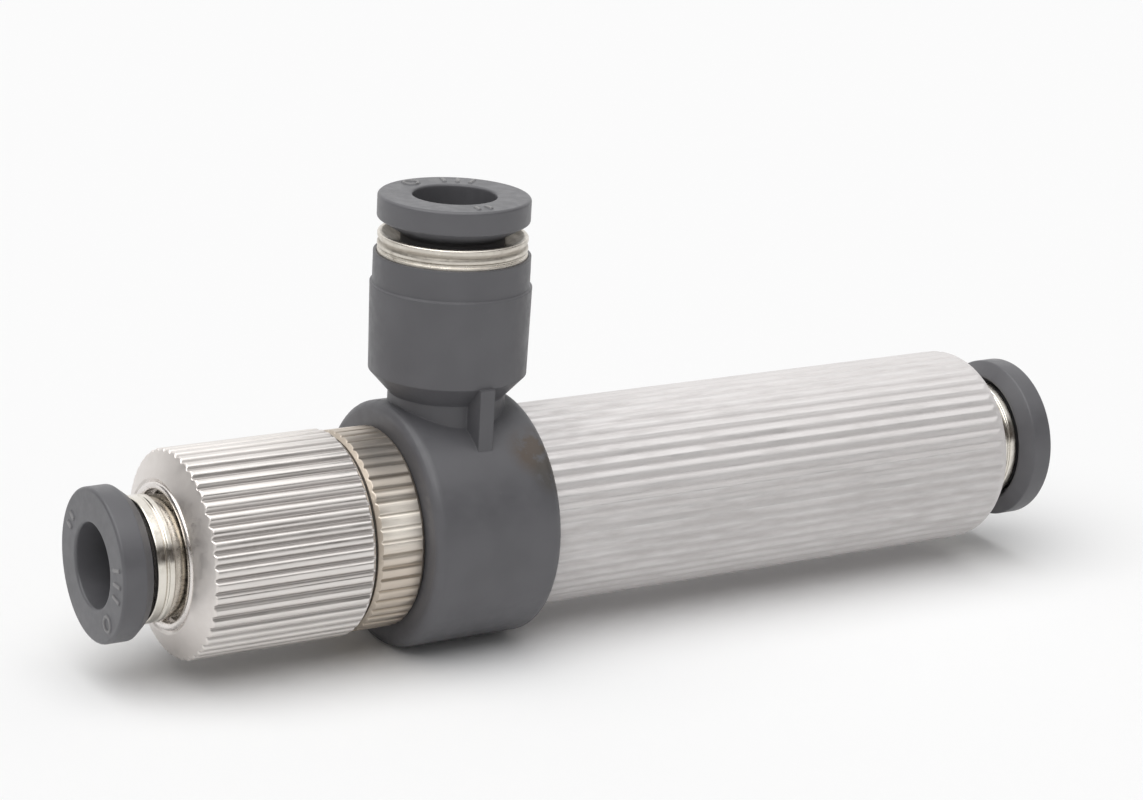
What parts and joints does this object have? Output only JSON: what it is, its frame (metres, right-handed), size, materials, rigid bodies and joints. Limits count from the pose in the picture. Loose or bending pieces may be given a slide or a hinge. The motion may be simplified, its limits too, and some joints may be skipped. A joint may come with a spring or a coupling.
{
  "type": "vacuum ejector",
  "caption": "Inline vacuum ejector: ribbed metal body, swivelling black side tee for the vacuum tube, push-in tube ports at both ends.",
  "frame": {"origin": "centre of the supply port's outer face, on the main axis, where the supply tube goes in", "axes": "+X along the main axis from the supply port to the exhaust port, +Z along the vacuum port, out of its mouth"},
  "size_m": [0.0821, 0.0186, 0.0341],
  "materials": {
    "ribbed_aluminium_front": "bright turned and straight-ribbed aluminium",
    "ribbed_aluminium_rear": "matte silver straight-ribbed aluminium",
    "nickel_plate_knurled": "nickel-plated brass, straight knurl",
    "nickel_plate_polished": "nickel-plated brass, polished",
    "black_tee_plastic": "moulded black plastic, satin",
    "black_ring_plastic": "moulded black plastic, satin",
    "claw_steel": "thin stainless spring sheet",
    "backing_plastic": "natural moulded plastic",
    "gasket_rubber": "flat black rubber",
    "seal_rubber": "black rubber O-rings",
    "jet_brass": "turned brass"
  },
  "bodies": {
    "housing": {"front_housing": "ribbed_aluminium_front", "front_gasket": "gasket_rubber", "nozzle_core": "nickel_plate_knurled", "nozzle": "jet_brass", "nozzle_seal": "seal_rubber", "tee_seal_front": "seal_rubber", "tee_seal_rear": "seal_rubber", "diffuser": "jet_brass", "diffuser_seal": "seal_rubber", "rear_seal": "seal_rubber", "rear_housing": "ribbed_aluminium_rear", "supply_collar": "nickel_plate_polished", "supply_claw": "claw_steel", "supply_backing_ring": "backing_plastic", "supply_tube_seal": "seal_rubber", "exhaust_collar": "nickel_plate_polished", "exhaust_claw": "claw_steel", "exhaust_backing_ring": "backing_plastic", "exhaust_tube_seal": "seal_rubber"},
    "tee": {"tee_body": "black_tee_plastic", "vacuum_collar": "nickel_plate_polished", "vacuum_claw": "claw_steel", "vacuum_backing_ring": "backing_plastic", "vacuum_tube_seal": "seal_rubber"},
    "supply_button": {"supply_release_ring": "black_ring_plastic"},
    "vacuum_button": {"vacuum_release_ring": "black_ring_plastic"},
    "exhaust_button": {"exhaust_release_ring": "black_ring_plastic"}
  },
  "joints": [
    {"name": "tee_swivel", "type": "hinge", "parent": "housing", "child": "tee", "pos_m": [0.02821, 0, 0], "axis": [1, 0, 0], "continuous": true},
    {"name": "supply_release", "type": "slide", "parent": "housing", "child": "supply_button", "axis": [1, 0, 0], "range_m": [0, 0.0008], "stiffness_N_per_m": 800, "springref_m": -0.0003},
    {"name": "vacuum_release", "type": "slide", "parent": "tee", "child": "vacuum_button", "axis": [0, 0, -1], "range_m": [0, 0.0008], "stiffness_N_per_m": 800, "springref_m": -0.0003},
    {"name": "exhaust_release", "type": "slide", "parent": "housing", "child": "exhaust_button", "axis": [-1, 0, 0], "range_m": [0, 0.0008], "stiffness_N_per_m": 800, "springref_m": -0.0003}
  ]
}
